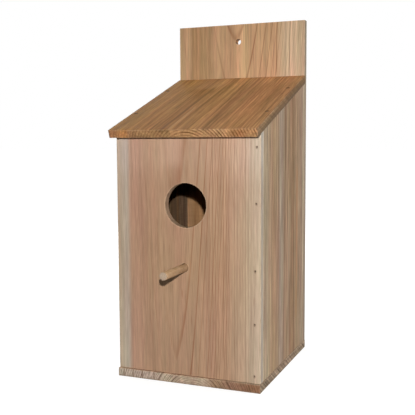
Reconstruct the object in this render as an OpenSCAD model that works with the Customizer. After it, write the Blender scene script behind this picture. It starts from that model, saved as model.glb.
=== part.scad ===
// Wooden nest box: a floor board, four upright walls, a pitched roof board,
// a round entrance and a dowel perch. The back wall rises above the roof and
// hangs the box from one hole. Every board is sawn from the same stock and
// nailed, so nothing opens or moves.
// The origin is the centre of the floor board's underside, +X is the right-hand
// side, +Y points to the hanging wall and +Z is up. Sizes are millimetres.

/* [Stock] */
// Thickness of every board
board_t = 9; // [6:0.5:15]

/* [Body] */
// Width across the front wall, and across the hanging wall
box_w = 161; // [120:1:220]
// Depth of a side wall, from the front wall to the hanging wall
side_d = 159.5; // [110:0.5:220]
// Height of the front wall's outer face above the floor board
front_h = 253.5; // [220:0.5:320]

/* [Floor board] */
// How far the floor board stands out beyond each side wall
floor_side_out = 0.4; // [0:0.1:5]
// How far the floor board stands out in front of the front wall
floor_front_out = 2.8; // [0:0.1:8]

/* [Roof] */
// Slope of the roof, falling from the hanging wall to the front, in degrees
roof_pitch = 19.3; // [10:0.1:28]
// Reach of the eave, from the front wall to the roof's lower edge
eave_out = 13; // [6:0.5:30]
// How far the roof stands out beyond each side wall
roof_side_out = 1.3; // [0:0.1:5]

/* [Hanging wall] */
// Height of the hanging wall above the floor board
back_h = 386.5; // [370:0.5:460]
// Diameter of the hole that the box hangs from
hang_d = 6.5; // [4:0.5:10]
// Distance of the hanging hole's centre below the top of the wall
hang_drop = 21; // [12:1:35]
// Place of the hanging hole across the wall, from its middle
hang_x = -2.5; // [-20:0.1:20]

/* [Entrance] */
// Diameter of the round entrance
entrance_d = 46; // [28:1:60]
// Height of the entrance's centre above the floor board
entrance_h = 179.5; // [150:0.5:195]
// Place of the entrance across the front wall, from its middle
entrance_x = -1.2; // [-20:0.1:20]

/* [Perch] */
// Diameter of the dowel
perch_d = 8.5; // [6:0.5:12]
// Length of dowel that stands out from the front wall
perch_out = 52; // [30:1:90]
// Distance of the perch below the centre of the entrance
perch_drop = 65; // [50:1:80]
// Place of the perch across the front wall, from its middle
perch_x = -2.7; // [-20:0.1:20]
// Clearance between the dowel and its hole, all round
perch_clear = 0.05; // [0.02:0.01:0.2]
// Chamfer that eases the dowel's free end
perch_ease = 0.6; // [0.2:0.1:1.5]

/* [Hidden] */
$fn = 96;

// How far a drill runs past both faces of a board
drill_past = 2;

// Depth of the box, from the front wall's outer face to the hanging wall's rear
box_d = side_d + 2 * board_t;

// Planes that the boards meet on, from front to back
front_y = (floor_front_out - box_d) / 2;
side_front_y = front_y + board_t;
side_back_y = side_front_y + side_d;

// Heights of the entrance, the perch and the hanging hole
entrance_z = board_t + entrance_h;
perch_z = entrance_z - perch_drop;
hang_z = board_t + back_h - hang_drop;

// Height of the roof's underside at a distance y from the origin
function roof_under(y) = board_t + front_h + (y - front_y) * tan(roof_pitch);

// A board sawn to a profile drawn in the side view, and w wide about x = 0
module side_view(w) {
    translate([-w / 2, 0, 0])
        rotate([90, 0, 90])
            linear_extrude(w)
                children();
}

// A hole of diameter d drilled from front to back through a board whose front is at y
module drilled(d, x, y, z) {
    translate([x, y - drill_past, z])
        rotate([-90, 0, 0])
            cylinder(h = board_t + 2 * drill_past, d = d);
}

// Upright profile between two planes, its top sawn to the slope of the roof
module raked(y0, y1) {
    polygon([
        [y0, board_t],
        [y1, board_t],
        [y1, roof_under(y1)],
        [y0, roof_under(y0)],
    ]);
}

// Side wall standing on the floor board, with its outer face at box_w / 2
module side_wall(side) {
    translate([side * (box_w - board_t) / 2, 0, 0])
        side_view(board_t)
            raked(side_front_y, side_back_y);
}

// Floor board, which carries all four walls
module floor_board() {
    color("peru")
        translate([-box_w / 2 - floor_side_out, front_y - floor_front_out, 0])
            cube([box_w + 2 * floor_side_out, box_d + floor_front_out, board_t]);
}

// Front wall, bevelled on top to seat the roof, with the entrance and perch hole
module front_wall() {
    color("tan")
        difference() {
            side_view(box_w) raked(front_y, side_front_y);
            drilled(entrance_d, entrance_x, front_y, entrance_z);
            drilled(perch_d + 2 * perch_clear, perch_x, front_y, perch_z);
        }
}

module left_wall() {
    color("rosybrown") side_wall(-1);
}

module right_wall() {
    color("rosybrown") side_wall(1);
}

// Hanging wall, nailed over the rear edges of the side walls
module back_board() {
    color("burlywood")
        difference() {
            translate([-box_w / 2, side_back_y, board_t])
                cube([box_w, board_t, back_h]);
            drilled(hang_d, hang_x, side_back_y, hang_z);
        }
}

// Roof board, square-cut at the eave and bevelled to lie against the hanging wall
module roof() {
    eave_y = front_y - eave_out;
    eave_z = roof_under(eave_y);
    color("sienna")
        side_view(box_w + 2 * roof_side_out)
            polygon([
                [eave_y, eave_z],
                [side_back_y, roof_under(side_back_y)],
                [side_back_y, roof_under(side_back_y) + board_t / cos(roof_pitch)],
                [eave_y - board_t * sin(roof_pitch), eave_z + board_t * cos(roof_pitch)],
            ]);
}

// Dowel seated through the front wall, flush inside and eased at its free end
module perch() {
    length = perch_out + board_t;
    color("wheat")
        translate([perch_x, side_front_y, perch_z])
            rotate([90, 0, 0])
                rotate_extrude()
                    polygon([
                        [0, 0],
                        [perch_d / 2, 0],
                        [perch_d / 2, length - perch_ease],
                        [perch_d / 2 - perch_ease, length],
                        [0, length],
                    ]);
}

floor_board();  // floor
front_wall();
left_wall();
right_wall();
back_board();
roof();
perch();
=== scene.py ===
"""Looks of a wooden nest box: seven boards and a dowel, nailed together.

Every board is dressed from its own solid in the frame, so it keeps its size
and place. The wood is one solid growth-ring pattern, set into each board with
its own pith, ring spacing and tones, so the faces and the end grain agree.
"""

import math

import bmesh
import bpy
from mathutils import Euler, Matrix, Vector, noise


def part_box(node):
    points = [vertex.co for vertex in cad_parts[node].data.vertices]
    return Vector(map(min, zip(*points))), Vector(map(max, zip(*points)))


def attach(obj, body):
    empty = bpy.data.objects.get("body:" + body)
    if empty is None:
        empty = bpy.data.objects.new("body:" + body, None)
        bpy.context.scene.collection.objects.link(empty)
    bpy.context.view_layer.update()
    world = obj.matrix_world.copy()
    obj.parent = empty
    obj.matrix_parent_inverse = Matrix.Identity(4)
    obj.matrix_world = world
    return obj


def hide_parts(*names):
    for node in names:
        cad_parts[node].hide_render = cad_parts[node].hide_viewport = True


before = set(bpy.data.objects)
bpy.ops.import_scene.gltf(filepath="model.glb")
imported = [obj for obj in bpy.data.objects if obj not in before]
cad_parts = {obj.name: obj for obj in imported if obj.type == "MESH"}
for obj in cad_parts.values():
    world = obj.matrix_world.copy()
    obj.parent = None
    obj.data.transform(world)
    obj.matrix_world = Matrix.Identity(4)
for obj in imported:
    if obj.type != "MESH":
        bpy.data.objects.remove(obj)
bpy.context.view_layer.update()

MM = 0.001


# ---------------------------------------------------------------- places

FRONT_LOW, FRONT_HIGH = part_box("front_wall")
SIDE_LOW, SIDE_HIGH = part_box("right_wall")
BACK_LOW, BACK_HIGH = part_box("back_board")
ROOF_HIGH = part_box("roof")[1]
FLOOR_LOW, FLOOR_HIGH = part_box("floor")

# The front and rear faces, the middle of a side board's thickness, and the middle of the box
FRONT_Y = FRONT_LOW.y
BACK_Y = BACK_HIGH.y
WALL_X = (SIDE_LOW.x + SIDE_HIGH.x) / 2
CENTRE = Vector((0, 0, (BACK_HIGH.z + FLOOR_LOW.z) / 2))

# The roof's slope, from the rise of the side walls' raked tops
ROOF_RISE = SIDE_HIGH.z - FRONT_HIGH.z
ROOF_PITCH = math.atan2(ROOF_RISE, SIDE_HIGH.y - SIDE_LOW.y)


# ---------------------------------------------------------------- shader tools

def srgb(red, green, blue):
    """A colour as it is seen, 0 to 255, as the linear values that a shader takes."""
    def linear(v):
        """One channel, by the sRGB curve."""
        v /= 255
        return v / 12.92 if v <= 0.04045 else ((v + 0.055) / 1.055) ** 2.4
    return (linear(red), linear(green), linear(blue), 1.0)


def feed(tree, socket, value):
    """Links another socket into a socket, or else sets its value."""
    if isinstance(value, bpy.types.NodeSocket):
        tree.links.new(value, socket)
    else:
        socket.default_value = value


def add(tree, kind, inputs=None, out=0, **settings):
    """Adds a shader node with its settings and inputs, and gives back one of its outputs."""
    made = tree.nodes.new("ShaderNode" + kind)
    for name, value in settings.items():
        setattr(made, name, value)
    for key, value in (inputs or {}).items():
        feed(tree, made.inputs[key], value)
    return made.outputs[out] if made.outputs else made


def calc(tree, operation, *values, clamp=False):
    """One step of arithmetic on numbers or sockets."""
    return add(tree, "Math", dict(enumerate(values)), operation=operation, use_clamp=clamp)


def vector_calc(tree, operation, *values, out=0):
    """One step of arithmetic on vectors."""
    return add(tree, "VectorMath", dict(enumerate(values)), out, operation=operation)


def ramp_between(tree, value, low, high, to_low=0.0, to_high=1.0, smooth=True):
    """Carries value from the range low to high over to another range, held at its ends."""
    kind = "SMOOTHSTEP" if smooth else "LINEAR"
    return add(
        tree, "MapRange",
        {"Value": value, "From Min": low, "From Max": high, "To Min": to_low, "To Max": to_high},
        interpolation_type=kind, clamp=True,
    )


def soft_noise(tree, place, scale, detail=2.0, roughness=0.5, out=0):
    """Noise whose grain is set along each axis by scale, in cycles a millimetre."""
    stretched = vector_calc(tree, "MULTIPLY", place, scale)
    inputs = {"Vector": stretched, "Scale": 1.0, "Detail": detail, "Roughness": roughness}
    return add(tree, "TexNoise", inputs, out)


def mix_colours(tree, factor, a, b):
    """Two colours mixed by factor, from all of a at 0 to all of b at 1."""
    # The sockets go by number, because a mix node has several of each name
    return add(tree, "Mix", {0: factor, 6: a, 7: b}, out=2, data_type="RGBA", clamp_factor=True)


def new_material(name):
    """An empty material, with its node tree."""
    material = bpy.data.materials.new(name)
    material.use_nodes = True
    material.node_tree.nodes.clear()
    return material, material.node_tree


def new_group(name, inputs, outputs):
    """An empty node group with named sockets. inputs are (name, kind, start value)."""
    group = bpy.data.node_groups.new(name, "ShaderNodeTree")
    for label, kind, start in inputs:
        socket = group.interface.new_socket(label, in_out="INPUT", socket_type="NodeSocket" + kind)
        if start is not None:
            socket.default_value = start
    for label, kind in outputs:
        group.interface.new_socket(label, in_out="OUTPUT", socket_type="NodeSocket" + kind)
    entry = group.nodes.new("NodeGroupInput")
    leave = group.nodes.new("NodeGroupOutput")
    return group, entry.outputs, leave.inputs


def place_group(tree, group, inputs):
    """Sets a group into a material with its own values, and gives back its outputs."""
    made = tree.nodes.new("ShaderNodeGroup")
    made.node_tree = group
    for key, value in inputs.items():
        feed(tree, made.inputs[key], value)
    return made.outputs


def parts_of(tree, vector):
    """The x, y and z of a vector."""
    return tuple(add(tree, "SeparateXYZ", {0: vector}).node.outputs)


def shifted(tree, given, by):
    """A group's Place, moved by its Seed, so that no two boards are alike."""
    seed = add(tree, "CombineXYZ", {0: given["Seed"], 1: given["Seed"], 2: given["Seed"]})
    return vector_calc(tree, "ADD", given["Place"], vector_calc(tree, "MULTIPLY", seed, by))


def middled(tree, value):
    """Noise of 0 to 1, brought to swing about 0."""
    return calc(tree, "SUBTRACT", value, 0.5)


# ---------------------------------------------------------------- shared effects

NOISE_RANGE = (0.3, 0.7)        # where nearly all of a noise's values lie
NOISE_MIDDLE = (0.35, 0.65)     # where most of them do

# How far a board's seed moves its rings and its fibres, in millimetres
RING_SHIFT = (13.7, 5.3, 91.1)
FIBRE_SHIFT = (31.3, 17.9, 47.7)

# The rings' drift, and the patches where they fade, in cycles a millimetre
SLOW_DRIFT = (1 / 90, 1 / 90, 1 / 300)
QUICK_DRIFT = (1 / 12, 1 / 12, 1 / 110)
FADED_PATCHES = (1 / 22, 1 / 22, 1 / 130)

QUICK_SHARE = (0.16, 0.16, 0.0)     # how much the quick drift counts across, through and along
SPACING_CHANGE = 0.4                # how fast the rings' spacing changes, in cycles a ring
PALER_RINGS = 0.8                   # the share of the rings that are paler than the darkest
FADING = (0.35, 0.6)                # the part of the noise over which faded rings come back

# Where in a ring, from 0 to 1, the dark part sets in, is darkest and breaks off
DARK_FROM = 0.45
DARKEST = 0.93
DARK_TO = 0.94


def growth_rings():
    """Rings round a tree's pith, in millimetres: x across the board, y through it, z along it.

    Closer brings the outer rings together, Pointed turns the arches of a flat-sawn
    face from round to pointed, Fineness narrows the dark part of each ring, Weakest
    is how dark the palest ring is against the darkest, and Faded how much of a ring
    is left where it fades.
    """
    group, given, result = new_group(
        "growth rings",
        [
            ("Place", "Vector", None), ("Pith Across", "Float", 0.0), ("Pith Depth", "Float", 60.0),
            ("Ring Step", "Float", 3.0), ("Closer", "Float", 0.0), ("Taper", "Float", 0.015),
            ("Pointed", "Float", 0.0), ("Fineness", "Float", 2.0), ("Start", "Float", 0.0),
            ("Uneven", "Float", 1.2), ("Weakest", "Float", 0.4), ("Faded", "Float", 0.6),
            ("Wander", "Float", 2.0), ("Seed", "Float", 0.0),
        ],
        [("Latewood", "Float"), ("Ring Tint", "Float")],
    )
    t = group
    place = shifted(t, given, RING_SHIFT)
    slow = soft_noise(t, place, SLOW_DRIFT, detail=1.0, out="Color")
    quick = soft_noise(t, place, QUICK_DRIFT, detail=2.0, out="Color")
    slow = vector_calc(t, "SUBTRACT", slow, (0.5, 0.5, 0.5))
    quick = vector_calc(t, "SUBTRACT", quick, (0.5, 0.5, 0.5))
    drift = vector_calc(t, "ADD", slow, vector_calc(t, "MULTIPLY", quick, QUICK_SHARE))
    drift = add(t, "VectorMath", {0: drift, "Scale": given["Wander"]}, operation="SCALE")
    across, through, along = parts_of(t, given["Place"])
    drift_across, drift_through, _ = parts_of(t, drift)
    x = calc(t, "SUBTRACT", across, given["Pith Across"])
    x = calc(t, "ADD", x, drift_across)
    y = calc(t, "SUBTRACT", through, given["Pith Depth"])
    y = calc(t, "ADD", y, drift_through)

    # How far out each point lies, and how many rings that is beyond the board's middle
    square = calc(t, "MULTIPLY_ADD", calc(t, "ABSOLUTE", x), given["Pointed"],
                  calc(t, "MULTIPLY", x, x))
    radius = calc(t, "SQRT", calc(t, "MULTIPLY_ADD", y, y, square))
    radius = calc(t, "MULTIPLY_ADD", along, given["Taper"], radius)
    beyond = calc(t, "SUBTRACT", radius, calc(t, "ABSOLUTE", given["Pith Depth"]))
    outer = calc(t, "MAXIMUM", beyond, 0.0)
    crowd = calc(t, "MULTIPLY", calc(t, "MULTIPLY", outer, outer), given["Closer"])
    count = calc(t, "DIVIDE", calc(t, "ADD", beyond, crowd), given["Ring Step"])
    count = calc(t, "ADD", count, given["Start"])

    # Uneven rings, each dark part rising slowly and breaking off, each ring of its own strength
    spacing = calc(t, "ADD", count, given["Seed"])
    uneven = add(t, "TexNoise", {"W": spacing, "Scale": SPACING_CHANGE, "Detail": 0.0},
                 noise_dimensions="1D")
    count = calc(t, "MULTIPLY_ADD", uneven, given["Uneven"], count)
    which = calc(t, "FLOOR", count)
    phase = calc(t, "FRACT", count)
    rise = calc(t, "POWER", ramp_between(t, phase, DARK_FROM, DARKEST), given["Fineness"])
    fall = ramp_between(t, phase, DARK_TO, 1.0, 1.0, 0.0)
    which = calc(t, "ADD", which, given["Seed"])
    each = add(t, "TexWhiteNoise", {"W": which}, noise_dimensions="1D").node.outputs
    strength = ramp_between(t, each["Value"], 0.0, PALER_RINGS, given["Weakest"], 1.0, smooth=False)
    patchy = soft_noise(t, place, FADED_PATCHES, detail=2.0)
    left = ramp_between(t, patchy, *FADING, given["Faded"], 1.0)
    strength = calc(t, "MULTIPLY", strength, left)
    late = calc(t, "MULTIPLY", calc(t, "MULTIPLY", rise, fall), strength)
    t.links.new(late, result["Latewood"])
    t.links.new(add(t, "SeparateColor", {0: each["Color"]}, out=1), result["Ring Tint"])
    return group


KERF_SLANT = -1.5               # how the saw's marks lean on an edge
FLECK_RANGE = (0.66, 0.78)      # only the highest values of the noise make a fleck


def wood_fibres():
    """Streaks along a board, from broad bands to fine fibres, and the saw's marks across its edges."""
    group, given, result = new_group(
        "wood fibres",
        [("Place", "Vector", None), ("Seed", "Float", 0.0)],
        [("Bands", "Float"), ("Streaks", "Float"), ("Fibres", "Float"), ("Flecks", "Float"),
         ("Hue", "Float"), ("Kerf", "Float")],
    )
    t = group
    place = shifted(t, given, FIBRE_SHIFT)
    flecks = soft_noise(t, place, (0.9, 0.9, 0.04), detail=1.0)
    across, through, along = parts_of(t, place)
    slanted = calc(t, "MULTIPLY_ADD", through, KERF_SLANT, along)
    kerf = add(t, "CombineXYZ", {0: across, 2: slanted})
    made = {
        "Bands": soft_noise(t, place, (0.10, 0.10, 0.003), detail=2.0, roughness=0.5),
        "Streaks": soft_noise(t, place, (0.40, 0.40, 0.012), detail=2.0, roughness=0.6),
        "Fibres": soft_noise(t, place, (1.5, 1.5, 0.05), detail=2.0, roughness=0.6),
        "Flecks": ramp_between(t, flecks, *FLECK_RANGE),
        "Hue": soft_noise(t, place, (0.09, 0.09, 0.010), detail=3.0, roughness=0.6),
        "Kerf": soft_noise(t, kerf, (0.01, 0.0, 0.22), detail=3.0, roughness=0.65),
    }
    for name, value in made.items():
        t.links.new(value, result[name])
    return group


LINE_WANDER = 2.5           # how far a marked line strays to the side, in millimetres
LINE_FADE = (0.1, 0.55)     # where it starts to fade, and ends, as shares of its width from its middle
LINE_TAPER = (-6.0, 10.0)   # where it fades in, in millimetres from each end


def marked_line():
    """One marked line of the grain, Width wide, from Low to High along the board."""
    group, given, result = new_group(
        "marked line",
        [("Place", "Vector", None), ("Across", "Float", 0.0), ("Lean", "Float", 0.0),
         ("Width", "Float", 2.0), ("Low", "Float", -200.0), ("High", "Float", 200.0)],
        [("Line", "Float")],
    )
    t = group
    across, _, along = parts_of(t, given["Place"])
    wander = soft_noise(t, given["Place"], (0.0, 0.0, 0.02), detail=2.0)
    aside = calc(t, "SUBTRACT", across, given["Across"])
    aside = calc(t, "SUBTRACT", aside, calc(t, "MULTIPLY", along, given["Lean"]))
    aside = calc(t, "ADD", aside, calc(t, "MULTIPLY", middled(t, wander), LINE_WANDER))
    near = calc(t, "DIVIDE", calc(t, "ABSOLUTE", aside), given["Width"])
    line = ramp_between(t, near, *LINE_FADE, 1.0, 0.0)
    from_low = calc(t, "SUBTRACT", along, given["Low"])
    to_high = calc(t, "SUBTRACT", given["High"], along)
    inside = ramp_between(t, calc(t, "MINIMUM", from_low, to_high), *LINE_TAPER)
    t.links.new(calc(t, "MULTIPLY", line, inside), result["Line"])
    return group


WEAR_LEFT = 0.35        # how much of the wear is left where it is thinnest
WEAR_FALL = 1.6         # how quickly it falls away from the edge


def worn_edges():
    """A mask of the eased and handled edges, broken up along them."""
    group, given, result = new_group(
        "worn edges",
        [("Place", "Vector", None), ("Amount", "Float", 1.0)],
        [("Worn", "Float")],
    )
    t = group
    edge = add(t, "Attribute", attribute_name="arris", out="Fac")
    patchy = soft_noise(t, given["Place"], (0.15, 0.15, 0.15), detail=3.0)
    patchy = ramp_between(t, patchy, *NOISE_MIDDLE, WEAR_LEFT, 1.0)
    worn = calc(t, "MULTIPLY", calc(t, "POWER", edge, WEAR_FALL), patchy)
    t.links.new(calc(t, "MULTIPLY", worn, given["Amount"], clamp=True), result["Worn"])
    return group


def roof_underside(tree, y):
    """How high the roof's underside is, in millimetres, at a depth y."""
    behind = calc(tree, "SUBTRACT", y, FRONT_HIGH.y / MM)
    return calc(tree, "MULTIPLY_ADD", behind, math.tan(ROOF_PITCH), FRONT_HIGH.z / MM)


CHAMBER_SKIN = (-0.25, -0.1)        # how far into the boards the chamber's mask fades, in millimetres


def chamber_faces():
    """A mask of the faces that line the chamber, and the marks that the saw left on them."""
    group, given, result = new_group(
        "chamber faces", [("Spot", "Vector", None)], [("Inside", "Float"), ("Saw Marks", "Float")],
    )
    t = group
    x, y, z = parts_of(t, given["Spot"])
    half_width = SIDE_LOW.x / MM
    front, back = FRONT_HIGH.y / MM, BACK_LOW.y / MM
    room = calc(t, "SUBTRACT", half_width, calc(t, "ABSOLUTE", x))
    for upper, lower in ((y, front), (back, y), (z, FLOOR_HIGH.z / MM), (roof_underside(t, y), z)):
        room = calc(t, "MINIMUM", room, calc(t, "SUBTRACT", upper, lower))
    t.links.new(ramp_between(t, room, *CHAMBER_SKIN), result["Inside"])
    marks = soft_noise(t, given["Spot"], (0.03, 0.03, 0.55), detail=2.0, roughness=0.6)
    t.links.new(marks, result["Saw Marks"])
    return group


# Where the darkening along the ground and the painted shade in the seams fade, in millimetres
BELOW_ROOF = (0.3, 1.4)         # down from the roof's underside
INTO_ROOF = (-8.0, -1.0)        # up into the roof board, which stays clean
OFF_FLOOR = (0.2, 0.9)          # away from the seam over the floor board
INTO_SIDE = (-0.6, -0.2)        # in from the side walls' outer faces
OFF_GROUND = (0.2, 2.6)         # up from the ground
GROUND_DARK_PATCHES = 4.0              # how far the ground darkening's upper limit wanders


def ground_darkening_and_seam_shade():
    """Masks of the darkening along the ground, and of painted shade in the roof's and floor's seams."""
    group, given, result = new_group(
        "ground darkening and seam shade", [("Spot", "Vector", None)], [("Ground Dark", "Float"), ("Seam", "Float")],
    )
    t = group
    x, y, height = parts_of(t, given["Spot"])
    below_roof = calc(t, "SUBTRACT", roof_underside(t, y), height)
    # Painted shade in the seam under the roof's edge, and lower down in the seam over the floor board
    seam = ramp_between(t, below_roof, *BELOW_ROOF, 1.0, 0.0)
    seam = calc(t, "MULTIPLY", seam, ramp_between(t, below_roof, *INTO_ROOF))
    seam = calc(t, "MULTIPLY", seam, calc(t, "LESS_THAN", y, BACK_LOW.y / MM))
    from_floor = calc(t, "ABSOLUTE", calc(t, "SUBTRACT", height, FLOOR_HIGH.z / MM))
    seam = calc(t, "MAXIMUM", seam, ramp_between(t, from_floor, *OFF_FLOOR, 1.0, 0.0))
    side = SIDE_HIGH.x / MM
    outside = ramp_between(t, calc(t, "ABSOLUTE", x), side + INTO_SIDE[0], side + INTO_SIDE[1])
    t.links.new(calc(t, "MULTIPLY", seam, outside), result["Seam"])
    # Darker along the ground
    patchy = soft_noise(t, given["Spot"], (0.25, 0.25, 0.25), detail=3.0)
    height = calc(t, "MULTIPLY_ADD", middled(t, patchy), GROUND_DARK_PATCHES, height)
    t.links.new(ramp_between(t, height, *OFF_GROUND, 1.0, 0.0), result["Ground Dark"])
    return group


HALO = (0.7, 1.6)       # where the stain round a small nail starts to fade, and ends, in millimetres
HALO_RUN = 0.55         # how much a height below the nail counts, so that the stain runs down
HALO_PATCHES = 0.8      # how far its limit wanders, in millimetres


def nail_stain():
    """A mask of the brown halo round a nail, drawn out a little way below it."""
    group, given, result = new_group(
        "nail stain", [("Spot", "Vector", None), ("Nail", "Vector", None), ("Size", "Float", 1.0)],
        [("Stain", "Float")],
    )
    t = group
    patchy = soft_noise(t, given["Spot"], (0.9, 0.9, 0.5), detail=2.0)
    x, y, height = parts_of(t, vector_calc(t, "SUBTRACT", given["Spot"], given["Nail"]))
    counted = ramp_between(t, height, -1.0, 1.0, HALO_RUN, 1.0)
    drawn = add(t, "CombineXYZ", {0: x, 1: y, 2: calc(t, "MULTIPLY", height, counted)})
    far = vector_calc(t, "LENGTH", drawn, out=1)
    far = calc(t, "MULTIPLY_ADD", middled(t, patchy), HALO_PATCHES, far)
    far = calc(t, "DIVIDE", far, given["Size"])
    t.links.new(ramp_between(t, far, *HALO, 1.0, 0.0), result["Stain"])
    return group


RINGS = growth_rings()
FIBRES = wood_fibres()
LINE = marked_line()
WORN = worn_edges()
CHAMBER = chamber_faces()
GROUND_AND_SEAM_DARK = ground_darkening_and_seam_shade()
STAIN = nail_stain()


# ---------------------------------------------------------------- wood

# Tones of the planed wood, from the outer sapwood in to the heart, and of the grain's dark lines
CREAM = (206, 180, 150)
SAPWOOD = (190, 167, 143)
ASH = (188, 170, 152)
PALE_TAN = (208, 167, 127)
BEIGE = (182, 151, 126)
ROSE = (182, 143, 119)
HEARTWOOD = (175, 139, 112)
OLIVE = (168, 148, 124)
BROWN = (156, 128, 100)
OCHRE = (172, 126, 86)
DARK_GRAIN = (106, 74, 52)
RED_GRAIN = (136, 84, 56)


def shade(colour, share):
    """A tone made lighter or darker by a share of itself."""
    return tuple(min(255.0, value * share) for value in colour)


def smooth_ramp(tree, value, steps):
    """A colour that changes smoothly with value. steps are (value, linear colour), in rising order."""
    made = add(tree, "ValToRGB", {0: value})
    ramp = made.node.color_ramp
    ramp.interpolation = "EASE"
    while len(ramp.elements) < len(steps):
        ramp.elements.new(0.5)
    for stop, (position, colour) in zip(ramp.elements, steps):
        stop.position = position
        stop.color = colour
    return made


def tone_ramp(tree, across, tones):
    """The wood's tone across a board. tones are (share of the width, colour)."""
    return smooth_ramp(tree, across, [(share, srgb(*colour)) for share, colour in tones])


def tint_and_light_ramp(tree, height, tints):
    """A tint along a board, in part painted light. tints are (share of the length, (red, green, blue)).
    """
    return smooth_ramp(tree, height, [(share, (*tint, 1.0)) for share, tint in tints])


# What a board's faces are, and the tones on them
SQUARELY = (0.6, 0.8)           # how squarely a face looks along an axis, to count a little and in full
EDGE_STRIP = (1.5, 1.0)         # where a sawn edge fades in, in millimetres from the board's side
TONE_SWAY = 3.0                 # how far the tones stray across the board, in millimetres
RING_TINTS = (0.965, 1.035)     # how bright the darkest and the lightest ring are
FLECK_SHARE = 0.3
CRACK_WIDTH = 2.2               # millimetres
CRACK_SHARE = 0.6

# What time and the saw have done to them, and the painted shade in the chamber and the seams
TANNIN = (80, 54, 34)                       # the stain round a nail
# The tone of the darkening along the ground and of the painted shade in the seams
DARKENING_TONE = (96, 80, 66)
DARKENING_SHARES = {"Ground Dark": 0.45, "Seam": 0.55}       # how strong each of the darkenings is
CHAMBER_SHADE_RANGE = (0.68, 0.78)                     # how bright the chamber's wood is, in and off its saw marks: its darkening is painted shade
CHAMBER_SHADE_TINT = (1.0, 0.90, 0.80)
RUBBED = shade(CREAM, 1.04)

# How rough they are, how far their grain stands up, and how they shine
DULLNESS = (0.66, 0.80)         # roughness of the dark fibres and of the light ones
RING_SMOOTHER = 0.08
CHAMBER_ROUGHER = 0.2
RING_RELIEF = 0.5
FIBRE_RELIEF = 0.6
RELIEF_STRENGTH = 0.35
RELIEF_DEPTH = 0.25 * MM
SPECULAR = 0.04                 # dry wood hardly shines


def faces_along(tree, part):
    """A mask of the faces that look squarely along one axis, from that part of the direction."""
    return ramp_between(tree, calc(tree, "ABSOLUTE", part), *SQUARELY)


def light_and_dark(tree, fibres, shares):
    """How bright the grain is, from its broad bands down to single fibres, by each effect's share."""
    swing = 1.0
    for effect, share in shares.items():
        step = ramp_between(tree, fibres[effect], *NOISE_RANGE, -1.0, 1.0, smooth=False)
        swing = calc(tree, "MULTIPLY", swing, calc(tree, "MULTIPLY_ADD", step, share, 1.0))
    return swing


def grain_line(across, width, share, tone=DARK_GRAIN, lean=0.0, low=-200, high=200):
    """A marked line of the grain, in millimetres from the board's centre, and how strong it is."""
    return {"Across": across, "Width": width, "Lean": lean, "Low": low, "High": high}, share, tone


def draw_lines(tree, colour, place, lines, where):
    """The colour with marked lines over it, where the mask lets them show."""
    for layout, share, tone in lines:
        drawn = place_group(tree, LINE, {"Place": place, **layout})["Line"]
        drawn = calc(tree, "MULTIPLY", drawn, calc(tree, "MULTIPLY", where, share))
        colour = mix_colours(tree, drawn, colour, srgb(*tone))
    return colour


def draw_stains(tree, colour, spot, nails, size, share):
    """The colour with a stain round each nail."""
    for nail in nails:
        halo = place_group(tree, STAIN, {"Spot": spot, "Nail": Vector(nail) / MM, "Size": size})
        stain = calc(tree, "MULTIPLY", halo["Stain"], share)
        colour = mix_colours(tree, stain, colour, srgb(*TANNIN))
    return colour


def draw_wear_and_shade(tree, colour, spot, place, chamber, wear):
    """The colour unplaned and darker in the chamber as painted shade, darker along the ground, with
    painted shade in the seams, rubbed pale at the edges.
    """
    # Painted shade: the chamber's wood is made darker, broken by the saw's marks
    chamber_darkening = ramp_between(tree, chamber["Saw Marks"], *NOISE_RANGE, *CHAMBER_SHADE_RANGE, smooth=False)
    chamber_darkening = vector_calc(tree, "MULTIPLY", chamber_darkening, CHAMBER_SHADE_TINT)
    shaded_unplaned = vector_calc(tree, "MULTIPLY", colour, chamber_darkening)
    colour = mix_colours(tree, chamber["Inside"], colour, shaded_unplaned)
    # Darker along the ground, and painted shade in the seams
    darkening_masks = place_group(tree, GROUND_AND_SEAM_DARK, {"Spot": spot})
    for mask, share in DARKENING_SHARES.items():
        colour = mix_colours(tree, calc(tree, "MULTIPLY", darkening_masks[mask], share), colour, srgb(*DARKENING_TONE))
    worn = place_group(tree, WORN, {"Place": place, "Amount": wear})["Worn"]
    return mix_colours(tree, worn, colour, srgb(*RUBBED))


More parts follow.
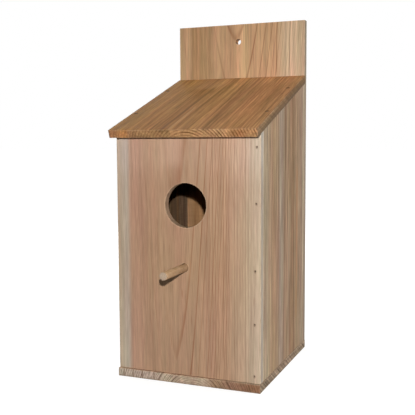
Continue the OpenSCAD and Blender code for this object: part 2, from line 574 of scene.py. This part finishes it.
def wood(name, node, turn, tones, end_tones, edge_tone, rings, lines=(), cracks=(), nails=(),
         late=DARK_GRAIN, late_share=0.5, end_late_share=0.7, band=0.05, streak=0.08, fibre=0.07,
         edge_kerf=0.12, edge_rings=1.0, hue=0.03, calm=(-1.0, 0.0), calm_share=1.0, along=(),
         wear=0.3, nail_size=1.0, stain_share=0.45, seed=0.0):
    """Bare wood for one board, laid out from the board's own centre, in millimetres.

    turn brings the grain upright. tones change across the board's width, end_tones
    do so over its end grain, and edge_tone is for its sawn long edges. rings sets
    the growth rings and late their dark tone, which late_share and end_late_share
    weaken, edge_rings once more on the long edges, and calm_share on the left of
    the calm range of the width. band, streak, fibre and hue are how strong the
    grain's own light, dark and red are, and edge_kerf how strong the saw's marks.
    lines are the marked lines of the grain, cracks the places of the short cracks
    in the end grain, and nails the places where the wood has stained. along tints
    the board along its length, as (share of the length, (red, green, blue)); on the
    front and the roof these tints are partly painted light.
    """
    material, t = new_material(name)
    low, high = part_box(node)
    rotation = Euler(turn).to_matrix()
    home = -(rotation @ ((low + high) / 2)) / MM
    across_axis = rotation.transposed() @ Vector((1, 0, 0))
    width = abs(across_axis.dot(high - low)) / MM
    length = (rotation @ (high - low)).z / MM

    # Where a point lies in the object and on the board, and which way its face looks
    coordinates = add(t, "TexCoord").node.outputs
    spot = add(t, "VectorMath", {0: coordinates["Object"], "Scale": 1 / MM}, operation="SCALE")
    place = add(t, "Mapping", {"Vector": spot, "Location": home, "Rotation": turn})
    facing = add(t, "Mapping", {"Vector": coordinates["Normal"], "Rotation": turn},
                 vector_type="NORMAL")
    ring = place_group(t, RINGS, {"Place": place, "Seed": seed, **rings})
    fibres = place_group(t, FIBRES, {"Place": place, "Seed": seed})
    chamber = place_group(t, CHAMBER, {"Spot": spot})
    sideways, _, lengthways = parts_of(t, facing)
    across, _, height = parts_of(t, place)
    end = faces_along(t, lengthways)
    strip = [width / 2 - inwards for inwards in EDGE_STRIP]
    by_side = ramp_between(t, calc(t, "ABSOLUTE", across), *strip)
    sawn_edge = calc(t, "MULTIPLY", faces_along(t, sideways), by_side)

    # The tones across the board, on its end grain and on its long edges
    sway = calc(t, "MULTIPLY", middled(t, fibres["Bands"]), TONE_SWAY)
    across = calc(t, "DIVIDE", calc(t, "ADD", across, sway), width)
    across = calc(t, "ADD", across, 0.5)
    colour = mix_colours(t, sawn_edge, tone_ramp(t, across, tones), srgb(*edge_tone))
    colour = mix_colours(t, end, colour, tone_ramp(t, across, end_tones))
    # Tints along the board, partly painted light on the front and the roof
    if along:
        height = calc(t, "ADD", calc(t, "DIVIDE", height, length), 0.5)
        colour = vector_calc(t, "MULTIPLY", colour, tint_and_light_ramp(t, height, along))

    # Light and dark along the grain, and a little red or green
    kerf = calc(t, "MULTIPLY", sawn_edge, edge_kerf)
    swing = light_and_dark(t, fibres, {"Bands": band, "Streaks": streak, "Fibres": fibre, "Kerf": kerf})
    tint = ramp_between(t, ring["Ring Tint"], 0, 1, *RING_TINTS, smooth=False)
    swing = calc(t, "MULTIPLY", swing, tint)
    pink = ramp_between(t, fibres["Hue"], *NOISE_MIDDLE, -hue, hue, smooth=False)
    red = calc(t, "MULTIPLY", swing, calc(t, "ADD", 1.0, pink))
    green = calc(t, "MULTIPLY", swing, calc(t, "SUBTRACT", 1.0, pink))
    colour = vector_calc(t, "MULTIPLY", colour, add(t, "CombineXYZ", {0: red, 1: green, 2: swing}))

    # The dark rings, flecks, lines, cracks and stains, then the wear and the painted shade
    lively = ramp_between(t, across, *calm)
    share = add(t, "MapRange", {"Value": end, "To Min": late_share, "To Max": end_late_share})
    share = calc(t, "MULTIPLY", share, calc(t, "MULTIPLY_ADD", lively, 1 - calm_share, calm_share))
    share = calc(t, "MULTIPLY", share, calc(t, "MULTIPLY_ADD", sawn_edge, edge_rings - 1, 1.0))
    colour = mix_colours(t, calc(t, "MULTIPLY", ring["Latewood"], share), colour, srgb(*late))
    colour = mix_colours(t, calc(t, "MULTIPLY", fibres["Flecks"], FLECK_SHARE), colour, srgb(*late))
    colour = draw_lines(t, colour, place, lines, calc(t, "SUBTRACT", 1.0, end))
    cracked = [grain_line(crack_across, CRACK_WIDTH, CRACK_SHARE) for crack_across in cracks]
    colour = draw_lines(t, colour, place, cracked, end)
    colour = draw_stains(t, colour, spot, nails, nail_size, stain_share)
    colour = draw_wear_and_shade(t, colour, spot, place, chamber, wear)

    # Smoother in the dark rings, rougher in the chamber, with raised grain and saw marks
    dull = ramp_between(t, fibres["Fibres"], 0.2, 0.8, *DULLNESS)
    dull = calc(t, "SUBTRACT", dull, calc(t, "MULTIPLY", ring["Latewood"], RING_SMOOTHER))
    dull = calc(t, "MULTIPLY_ADD", chamber["Inside"], CHAMBER_ROUGHER, dull)
    relief = calc(t, "ADD", calc(t, "MULTIPLY", ring["Latewood"], RING_RELIEF),
                  calc(t, "MULTIPLY", fibres["Fibres"], FIBRE_RELIEF))
    relief = calc(t, "ADD", calc(t, "MULTIPLY", chamber["Saw Marks"], chamber["Inside"]), relief)
    bump = add(t, "Bump", {"Height": relief, "Strength": RELIEF_STRENGTH, "Distance": RELIEF_DEPTH})
    surface = add(t, "BsdfPrincipled", {"Base Color": colour, "Roughness": dull, "Normal": bump,
                                        "Specular IOR Level": SPECULAR})
    add(t, "OutputMaterial", {"Surface": surface})
    return material


# Turns that bring a board's grain upright
UPRIGHT = (0.0, 0.0, 0.0)
SIDEWAYS = (0.0, 0.0, math.radians(-90))
FRONT_TO_BACK = (math.radians(90), 0.0, 0.0)
UP_THE_SLOPE = (math.radians(90) - ROOF_PITCH, 0.0, 0.0)


def ring_set(pith, step, closer=0.0, taper=0.0, pointed=0.0, fineness=2.0, start=0.0, uneven=1.2,
             weakest=0.4, faded=0.6, wander=3.0):
    """How a board was cut from the tree. pith is the heart's place across and through it."""
    across, depth = pith
    return {"Pith Across": across, "Pith Depth": depth, "Ring Step": step, "Closer": closer,
            "Taper": taper, "Pointed": pointed, "Fineness": fineness, "Start": start,
            "Uneven": uneven, "Weakest": weakest, "Faded": faded, "Wander": wander}


# Where the nails are, on the boards' outer faces. The rows are in millimetres: across and up on
# the front, up on the hanging board, from front to back under the floor, and across and down the
# slope on the roof
FRONT_ROW = ((76.2, 248.6), (75.6, 192.4), (74.5, 124.5), (74.0, 70.0), (73.8, 16.7))
FRONT_NAILS = [(across * MM, FRONT_Y, height * MM) for across, height in FRONT_ROW]
BACK_ROW = (24, 118, 214, 306)
BACK_NAILS = [(side * WALL_X, BACK_Y, height * MM) for side in (-1, 1) for height in BACK_ROW]
FLOOR_ROW = (-58, 2, 60)
FLOOR_NAILS = [(side * WALL_X, depth * MM, FLOOR_LOW.z) for side in (-1, 1) for depth in FLOOR_ROW]


def roof_spot(x, down):
    """A place on the roof's top, down the slope from its rear edge."""
    return (x, ROOF_HIGH.y - down * math.cos(ROOF_PITCH), ROOF_HIGH.z - down * math.sin(ROOF_PITCH))


ROOF_ROW = ((-76.3, 50.3), (-76.1, 139.4), (74.4, 53.7), (75.4, 140.2))
ROOF_NAILS = [roof_spot(across * MM, down * MM) for across, down in ROOF_ROW]
ROOF_NAIL_SIZE = 1.9


def front_wood():
    """Pinkish and flat-sawn, with arches left of the middle and fine upright lines on the right."""
    fine_lines = [
        grain_line(26 + 2.95 * k, 1.0, 0.2 + 0.1 * (k * 7 % 4), (128, 88, 64),
                   low=-230 + 30 * (k * 5 % 7))
        for k in range(16)
    ]
    broad_lines = [
        grain_line(-16, 34.0, 0.22, (222, 186, 162), low=90, high=160),
        grain_line(1, 7.0, 0.25, (150, 104, 78), low=78, high=160),
    ]
    return wood(
        "front board", "front_wall", UPRIGHT,
        tones=[(0.00, SAPWOOD), (0.07, shade(ASH, 0.97)), (0.11, shade(ROSE, 0.98)),
               (0.25, shade(HEARTWOOD, 0.99)), (0.55, shade(HEARTWOOD, 0.98)), (0.75, HEARTWOOD),
               (0.86, BEIGE), (0.95, shade(SAPWOOD, 0.98)), (0.985, (193, 173, 149))],
        end_tones=[(0.0, SAPWOOD), (0.5, BROWN), (1.0, SAPWOOD)],
        edge_tone=(173, 162, 147),
        rings=ring_set((-13, 50), step=15.9, closer=0.12, taper=-0.04, pointed=8, fineness=10,
                       start=0.81, uneven=0.0, wander=2),
        lines=fine_lines + broad_lines, nails=FRONT_NAILS, stain_share=0.5,
        late=(134, 84, 54), late_share=0.76, calm=(0.38, 0.5), calm_share=0.3,
        band=0.035, streak=0.12, fibre=0.14, hue=0.02, seed=8.0,
        # Paler and cooler at the top, partly as painted light against the shade under the eave, and
        # brighter at the bottom
        along=[(0.0, (1.10, 1.12, 1.12)), (0.18, (1.01, 1.02, 1.02)), (0.45, (0.95, 0.96, 0.93)),
               (0.75, (0.96, 0.96, 0.96)), (0.92, (1.08, 1.13, 1.19)), (1.0, (1.12, 1.18, 1.25))],
    )


def side_wood(node, seed):
    """Brown, in upright bands of grey and tan from front to back."""
    return wood(
        "side board " + node, node, SIDEWAYS,
        tones=[(0.01, OLIVE), (0.08, OLIVE), (0.13, (170, 145, 118)), (0.22, (168, 139, 110)),
               (0.31, (164, 138, 113)), (0.38, (167, 149, 131)), (0.50, (155, 129, 105)),
               (0.60, (150, 123, 97)), (0.68, (147, 120, 93)), (0.80, (162, 136, 110)),
               (0.91, (158, 134, 112)), (0.945, (150, 130, 112)), (0.965, (176, 158, 134)),
               (0.995, (180, 162, 138))],
        end_tones=[(0.0, SAPWOOD), (0.5, BROWN), (1.0, OLIVE)],
        edge_tone=BEIGE,
        rings=ring_set((14, 40), step=3.6, closer=0.01, taper=0.012, wander=5),
        lines=[
            grain_line(-36, 2.0, 0.5), grain_line(-27, 5.0, 0.35),
            grain_line(4, 2.4, 0.6, lean=-0.05, low=60, high=95), grain_line(77, 2.6, 0.6, high=-70),
            grain_line(48, 9.0, 0.45, OCHRE, lean=0.01, low=-120, high=60),
            grain_line(15, 15.0, 0.25, (190, 168, 144), lean=0.02, low=-300, high=20),
        ],
        late_share=0.9, band=0.08, streak=0.3, fibre=0.28, hue=0.03, seed=seed,
        along=[(0.0, (1.14, 1.14, 1.14)), (0.3, (1.03, 1.03, 1.03)), (0.5, (0.97, 0.97, 0.97)),
               (1.0, (1.0, 1.0, 1.0))],
    )


def back_wood():
    """Tan, with a pointed figure of fine dark rings."""
    return wood(
        "hanging board", "back_board", UPRIGHT,
        tones=[(0.02, shade(PALE_TAN, 0.92)), (0.08, shade(PALE_TAN, 0.93)), (0.12, (174, 138, 99)),
               (0.22, (183, 145, 107)), (0.30, shade(PALE_TAN, 0.92)), (0.38, shade(PALE_TAN, 0.91)),
               (0.52, shade(PALE_TAN, 1.01)), (0.60, PALE_TAN), (0.76, shade(PALE_TAN, 0.99)),
               (0.86, (212, 180, 148)), (0.99, (208, 177, 145))],
        end_tones=[(0.0, SAPWOOD), (0.5, BROWN), (1.0, SAPWOOD)],
        edge_tone=(150, 136, 117),
        rings=ring_set((-6, 60), step=5.8, closer=0.03, taper=-0.073, pointed=4, fineness=24,
                       start=0.485, uneven=0.0, wander=3),
        lines=[grain_line(43, 2.0, 0.6, RED_GRAIN, lean=0.02, low=130),
               grain_line(59, 1.6, 0.5, lean=0.02, low=130)],
        nails=BACK_NAILS, late=RED_GRAIN, late_share=0.66, calm=(0.3, 0.42), calm_share=0.35,
        band=0.14, streak=0.14, fibre=0.12, seed=7.0,
        along=[(0.8, (1.07, 1.08, 1.10)), (0.9, (1.02, 1.03, 1.04)), (1.0, (0.97, 0.97, 0.97))],
    )


def roof_wood():
    """Orange brown, with dark lines down the slope and stained nails."""
    edge_lines = [
        grain_line(82.4, 5.0, 0.17, (84, 52, 26), low=low, high=120) for low in (-62, -30, 10, 50)
    ]
    return wood(
        "roof board", "roof", UP_THE_SLOPE,
        tones=[(0.01, (166, 123, 77)), (0.12, (157, 114, 69)), (0.34, (147, 106, 65)),
               (0.45, (167, 123, 79)), (0.55, (163, 119, 76)), (0.66, (174, 128, 86)),
               (0.85, (166, 119, 79)), (0.99, (171, 127, 86))],
        end_tones=[(0.02, (173, 122, 86)), (0.12, (178, 126, 79)), (0.15, (165, 124, 87)),
                   (0.35, (157, 121, 82)), (0.55, (180, 136, 94)), (0.76, (185, 140, 101)),
                   (0.87, (166, 116, 77)), (0.96, (171, 128, 88))],
        edge_tone=(134, 108, 79),
        rings=ring_set((5.1, 27), step=3.0, taper=0.006, fineness=0.5, start=0.63, uneven=0.2,
                       weakest=0.7, faded=0.4, wander=1.2),
        lines=[
            grain_line(-81.6, 3.6, 0.8, low=-120, high=120),
            grain_line(-52, 5.0, 0.22, low=-120, high=120),
            grain_line(-30, 50.0, 0.13, (226, 184, 140), low=50, high=120),
            grain_line(-19, 6.0, 0.42, lean=0.01, low=-120, high=60),
            grain_line(26, 4.0, 0.28, low=-120, high=120),
            grain_line(-12, 3.0, 0.25, PALE_TAN, low=-120, high=-20),
        ] + edge_lines,
        nails=ROOF_NAILS, nail_size=ROOF_NAIL_SIZE, stain_share=0.9,
        late=(80, 47, 20), late_share=0.33, end_late_share=1.0, calm=(0.08, 0.32), calm_share=0.35,
        edge_kerf=0.3, edge_rings=0.25, band=0.17, streak=0.24, fibre=0.24, wear=0.1, seed=19.0,
        # Brighter at the eave's end, which faces a little downwards, and at the ridge beside the
        # hanging board: painted light
        along=[(0.0, (1.16, 1.16, 1.17)), (0.012, (0.91, 0.91, 0.89)), (0.7, (0.94, 0.94, 0.93)),
               (1.0, (1.12, 1.11, 1.10))],
    )


def floor_wood():
    """Dark red-brown heartwood, with grey end grain in front that has cracked on the left."""
    return wood(
        "floor board", "floor", FRONT_TO_BACK,
        tones=[(0.0, BEIGE), (0.5, HEARTWOOD), (1.0, OLIVE)],
        end_tones=[(0.02, shade(ASH, 1.05)), (0.20, shade(ASH, 1.05)), (0.45, SAPWOOD),
                   (0.62, shade(SAPWOOD, 0.98)), (0.70, shade(BROWN, 1.04)), (0.78, (151, 118, 95)),
                   (0.97, (147, 107, 81))],
        edge_tone=shade(OLIVE, 0.89),
        rings=ring_set((8, 22), step=2.6, taper=0.008, fineness=1.1, wander=3),
        cracks=(-74, -63, -52, -38), nails=FLOOR_NAILS, late=(92, 66, 50), late_share=0.6,
        end_late_share=1.0, edge_kerf=0.75, band=0.12, streak=0.2, fibre=0.16, seed=27.0,
    )


def perch_wood():
    """Plain tan, with its grain along the dowel."""
    return wood(
        "perch dowel", "perch", FRONT_TO_BACK,
        tones=[(0.0, (152, 121, 86)), (1.0, (156, 124, 89))],
        end_tones=[(0.0, (158, 139, 122)), (1.0, (158, 139, 122))],
        edge_tone=(162, 129, 95),
        rings=ring_set((30, 10), step=2.2, fineness=1.2, wander=0.6),
        late=(140, 104, 74), late_share=0.35, end_late_share=0.3, band=0.02, hue=0.01, seed=41.0,
    )


WIRE = (58, 42, 32)
BROWNED_WIRE = (84, 58, 40)


def nail_steel():
    """Dull wire, browned where the wood's tannin has reached it."""
    material, t = new_material("nail steel")
    place = add(t, "Mapping", {"Vector": add(t, "TexCoord", out="Object"),
                               "Scale": (1 / MM, 1 / MM, 1 / MM)})
    stain = soft_noise(t, place, (0.9, 0.9, 0.9), detail=3.0)
    browned = ramp_between(t, stain, *NOISE_MIDDLE)
    colour = mix_colours(t, browned, srgb(*WIRE), srgb(*BROWNED_WIRE))
    rough = ramp_between(t, stain, *NOISE_RANGE, 0.5, 0.68)
    surface = add(t, "BsdfPrincipled", {"Base Color": colour, "Metallic": 0.3, "Roughness": rough})
    add(t, "OutputMaterial", {"Surface": surface})
    return material


# ---------------------------------------------------------------- shaping

EASE = 0.45 * MM            # how far an edge is rounded over
ROOF_EASE = 0.8 * MM        # the same on the roof board
ARRIS = 1.3 * MM            # width of the handled strip beside it
SMALLEST_FLAT = 6 * MM      # a face smaller than a square of this size gets no strip
SHARP = math.radians(30)
EDGE_STEP = 9 * MM          # length of the pieces that an edge can wander in
WEAR_DEPTH = 0.12 * MM
MEAN_DENT = 0.5             # how deep the wear is on average, as a share of WEAR_DEPTH
BROAD_DENTS = (0.5, 0.12)   # how much deeper or shallower it gets, and how quickly along a millimetre
FINE_DENTS = (0.35, 0.45)

# A nail's pit and head, in millimetres for a small nail
PIT_RADII = (0.72, 0.95)    # at the cutter's bottom and at its top, which stands clear of the board
PIT_LENGTH = 1.0
PIT_SUNK = 0.1
PIT_SIDES = 20
HEAD_RADIUS = 0.68
HEAD_RISE = 0.30
HEAD_SUNK = 0.62


def solid_of(node):
    """A working copy of a CAD node's solid, with its flat faces whole."""
    bm = bmesh.new()
    bm.from_mesh(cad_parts[node].data)
    bmesh.ops.remove_doubles(bm, verts=bm.verts, dist=0.001 * MM)
    bmesh.ops.dissolve_limit(bm, angle_limit=math.radians(0.5), verts=bm.verts, edges=bm.edges)
    bm.normal_update()
    return bm


def sharp_edges(bm):
    """The edges at which two faces meet at a sharp angle."""
    return [e for e in bm.edges if len(e.link_faces) == 2 and e.calc_face_angle(0) > SHARP]


def split_long_edges(bm):
    """Cuts long sharp edges into short lengths, so that they can wander a little."""
    for edge in sharp_edges(bm):
        cuts = int(edge.calc_length() / EDGE_STEP)
        if cuts:
            bmesh.ops.subdivide_edges(bm, edges=[edge], cuts=cuts)


def ease_edges(bm, seed, ease):
    """Rounds every sharp edge, marks the strip beside it, and wears it unevenly."""
    made = bmesh.ops.bevel(bm, geom=sharp_edges(bm), offset=ease, offset_type="OFFSET",
                           segments=2, profile=0.6, affect="EDGES", clamp_overlap=True)
    rounded = set(made["faces"])
    flats = [f for f in bm.faces if f not in rounded and f.calc_area() > SMALLEST_FLAT ** 2]
    bmesh.ops.inset_region(bm, faces=flats, thickness=ARRIS, use_even_offset=True)
    bm.normal_update()
    mark = bm.verts.layers.float.new("arris")
    for vert in bm.verts:
        on_edge = any(f in rounded for f in vert.link_faces)
        vert[mark] = 1.0 if on_edge else 0.0
    for vert in bm.verts:
        if vert[mark] > 0.5:
            at = (vert.co + Vector((seed, 0, 0))) * (1 / MM)
            dent = MEAN_DENT
            for swing, pace in (BROAD_DENTS, FINE_DENTS):
                dent += swing * noise.noise(at * pace)
            vert.co -= vert.normal * max(0.0, dent) * WEAR_DEPTH


def piece(name, bm, material, node):
    """Turns the working mesh into a piece, which stands for a CAD node if one is given."""
    mesh = bpy.data.meshes.new(name)
    bm.to_mesh(mesh)
    bm.free()
    mesh.shade_smooth()
    made = bpy.data.objects.new(name, mesh)
    bpy.context.scene.collection.objects.link(made)
    mesh.materials.append(material)
    even = made.modifiers.new("even shading", "WEIGHTED_NORMAL")
    even.keep_sharp = True
    even.weight = 100
    if node:
        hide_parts(node)
    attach(made, "root")
    return made


def board(name, node, material, seed, ease=EASE):
    """A sawn board with eased edges, made from its solid."""
    bm = solid_of(node)
    split_long_edges(bm)
    ease_edges(bm, seed, ease)
    return piece(name, bm, material, node)


def nail_place(spot, outward, sunk):
    """Where a nail's pit or head goes, facing outward and sunk below its spot."""
    turned = outward.to_track_quat("Z", "Y").to_matrix().to_4x4()
    return Matrix.Translation(Vector(spot) - outward * sunk * MM) @ turned


def cut_pits(made, spots, outward, size):
    """Presses a shallow tapered pit into a board for each nail. size is set against a small nail."""
    pits = bmesh.new()
    low_radius, high_radius = (radius * MM * size for radius in PIT_RADII)
    for spot in spots:
        bmesh.ops.create_cone(pits, cap_ends=True, segments=PIT_SIDES, radius1=low_radius,
                              radius2=high_radius, depth=PIT_LENGTH * MM,
                              matrix=nail_place(spot, outward, PIT_SUNK))
    mesh = bpy.data.meshes.new("pits")
    pits.to_mesh(mesh)
    pits.free()
    cutter = bpy.data.objects.new("pits", mesh)
    bpy.context.scene.collection.objects.link(cutter)
    cut = made.modifiers.new("pits", "BOOLEAN")
    cut.operation = "DIFFERENCE"
    cut.solver = "EXACT"
    cut.object = cutter
    made.modifiers.move(len(made.modifiers) - 1, 0)
    bpy.context.view_layer.update()
    shaped = made.evaluated_get(bpy.context.evaluated_depsgraph_get())
    shaped = bpy.data.meshes.new_from_object(shaped)
    made.modifiers.remove(cut)
    made.data = shaped
    bpy.data.objects.remove(cutter)


def nail_heads(name, spots, outward, size, material):
    """Small domed wire-nail heads, seated at the bottom of their pits."""
    bm = bmesh.new()
    across = HEAD_RADIUS * MM * size
    for spot in spots:
        head = bmesh.ops.create_uvsphere(bm, u_segments=20, v_segments=10, radius=1.0)["verts"]
        bmesh.ops.scale(bm, verts=head, vec=(across, across, HEAD_RISE * MM))
        bmesh.ops.transform(bm, verts=head, matrix=nail_place(spot, outward, HEAD_SUNK))
    piece(name, bm, material, None)


steel = nail_steel()
front = board("front_board", "front_wall", front_wood(), 1)
board("left_side_board", "left_wall", side_wood("left_wall", 13.0), 2)
board("right_side_board", "right_wall", side_wood("right_wall", 11.0), 3)
hanging = board("hanging_board", "back_board", back_wood(), 4)
roof = board("roof_board", "roof", roof_wood(), 5, ease=ROOF_EASE)
floor = board("floor_board", "floor", floor_wood(), 6)
board("perch_dowel", "perch", perch_wood(), 7)

# For each nailed board, the way that its face looks, and the nails' size against a small nail
UP_FROM_ROOF = Vector((0, -math.sin(ROOF_PITCH), math.cos(ROOF_PITCH)))
for holder, spots, outward, size in (
    (front, FRONT_NAILS, Vector((0, -1, 0)), 0.9),
    (hanging, BACK_NAILS, Vector((0, 1, 0)), 1.0),
    (roof, ROOF_NAILS, UP_FROM_ROOF, ROOF_NAIL_SIZE),
    (floor, FLOOR_NAILS, Vector((0, 0, -1)), 1.0),
):
    cut_pits(holder, spots, outward, size)
    nail_heads(holder.name + "_nails", spots, outward, size, steel)


# ---------------------------------------------------------------- stage

FLOOR_SIZE = 30.0           # metres
FLOOR_DROP = 0.05 * MM      # keeps the floor clear of the box's underside
FLOOR_GREY = (0.25, 0.25, 0.25, 1.0)
FLOOR_GLOW = 0.85           # how far the floor near the box is lifted towards white
GLOW_FADE = (0.35, 1.2)     # where the glow starts to rise from that to white, in metres
WHITE = (1.0, 1.0, 1.0, 1.0)
FILL = 0.06                 # strength of the even light from all round


def backdrop_rays(tree):
    """A mask of the rays that see the backdrop: from the camera, by a mirror or through glass."""
    path = add(tree, "LightPath").node.outputs
    seen = calc(tree, "MAXIMUM", path["Is Camera Ray"], path["Is Glossy Ray"])
    return calc(tree, "MAXIMUM", seen, path["Is Transmission Ray"])


def stage_floor():
    """A pale floor that shows white, keeps the box's shadow, and is clear from beneath."""
    bpy.ops.mesh.primitive_plane_add(size=FLOOR_SIZE, location=(0, 0, -FLOOR_DROP))
    ground = bpy.context.object
    ground.name = "stage_floor"
    material, t = new_material("stage floor")
    away = vector_calc(t, "LENGTH", add(t, "TexCoord", out="Object"), out=1)
    glow = ramp_between(t, away, *GLOW_FADE, FLOOR_GLOW, 1.0)
    glow = calc(t, "MULTIPLY", backdrop_rays(t), glow)
    matt = add(t, "BsdfDiffuse", {"Color": FLOOR_GREY})
    pale = add(t, "AddShader", {0: matt, 1: add(t, "Emission", {"Color": WHITE, "Strength": glow})})
    beneath = add(t, "NewGeometry", out="Backfacing")
    unseen = calc(t, "MAXIMUM", beneath, add(t, "LightPath", out="Is Shadow Ray"))
    clear = add(t, "BsdfTransparent")
    add(t, "OutputMaterial", {"Surface": add(t, "MixShader", {0: unseen, 1: pale, 2: clear})})
    ground.data.materials.append(material)


def studio_world():
    """Even light from all round, in front of a white backdrop."""
    world = bpy.data.worlds.new("studio")
    bpy.context.scene.world = world
    world.use_nodes = True
    t = world.node_tree
    t.nodes.clear()
    strength = ramp_between(t, backdrop_rays(t), 0, 1, FILL, 1.0, smooth=False)
    light = add(t, "Background", {"Color": WHITE, "Strength": strength})
    add(t, "OutputWorld", {"Surface": light})


def lamp(name, place, size, power):
    """A round soft lamp at place, pointed at the middle of the box."""
    data = bpy.data.lights.new(name, "AREA")
    data.shape = "DISK"
    data.size = size
    data.energy = power
    made = bpy.data.objects.new(name, data)
    bpy.context.scene.collection.objects.link(made)
    made.location = place
    made.rotation_euler = (CENTRE - place).to_track_quat("-Z", "Y").to_euler()


CAMERA_PLACE = Vector((298.7, -771.0, 256.9)) * MM
CAMERA_TURN = math.radians(22.24)
CAMERA_DIP = math.radians(5.16)
CAMERA_ROLL = math.radians(-0.34)
SENSOR = 36.0
LENS = 63.06
SHIFT = (0.0096, -0.0076)


def studio_camera():
    """The camera, in front of the box, to its right and a little above its middle."""
    data = bpy.data.cameras.new("camera")
    data.sensor_width = SENSOR
    data.lens = LENS
    data.shift_x, data.shift_y = SHIFT
    data.clip_start = 0.01
    made = bpy.data.objects.new("camera", data)
    bpy.context.scene.collection.objects.link(made)
    made.matrix_world = (
        Matrix.Translation(CAMERA_PLACE)
        @ Matrix.Rotation(CAMERA_TURN, 4, "Z")
        @ Matrix.Rotation(math.radians(90) - CAMERA_DIP, 4, "X")
        @ Matrix.Rotation(CAMERA_ROLL, 4, "Z")
    )
    bpy.context.scene.camera = made


# Places in millimetres, sizes in metres and powers in watts
LAMPS = (
    ("key", (306, -771, 332), 0.014, 5.83),
    ("right fill", (1100, 300, 350), 0.6, 7.2),
    ("left fill", (-1100, 150, 350), 0.6, 3.5),
    ("top fill", (-50, 40, 1350), 0.6, 4.9),
    ("rear fill", (-800, 1000, 600), 0.6, 12.0),
    ("under fill", (0, 0, -1000), 0.6, 3.0),
)

stage_floor()
studio_world()
studio_camera()
for name, place, size, power in LAMPS:
    lamp(name, Vector(place) * MM, size, power)

bpy.context.scene.view_settings.view_transform = "Standard"
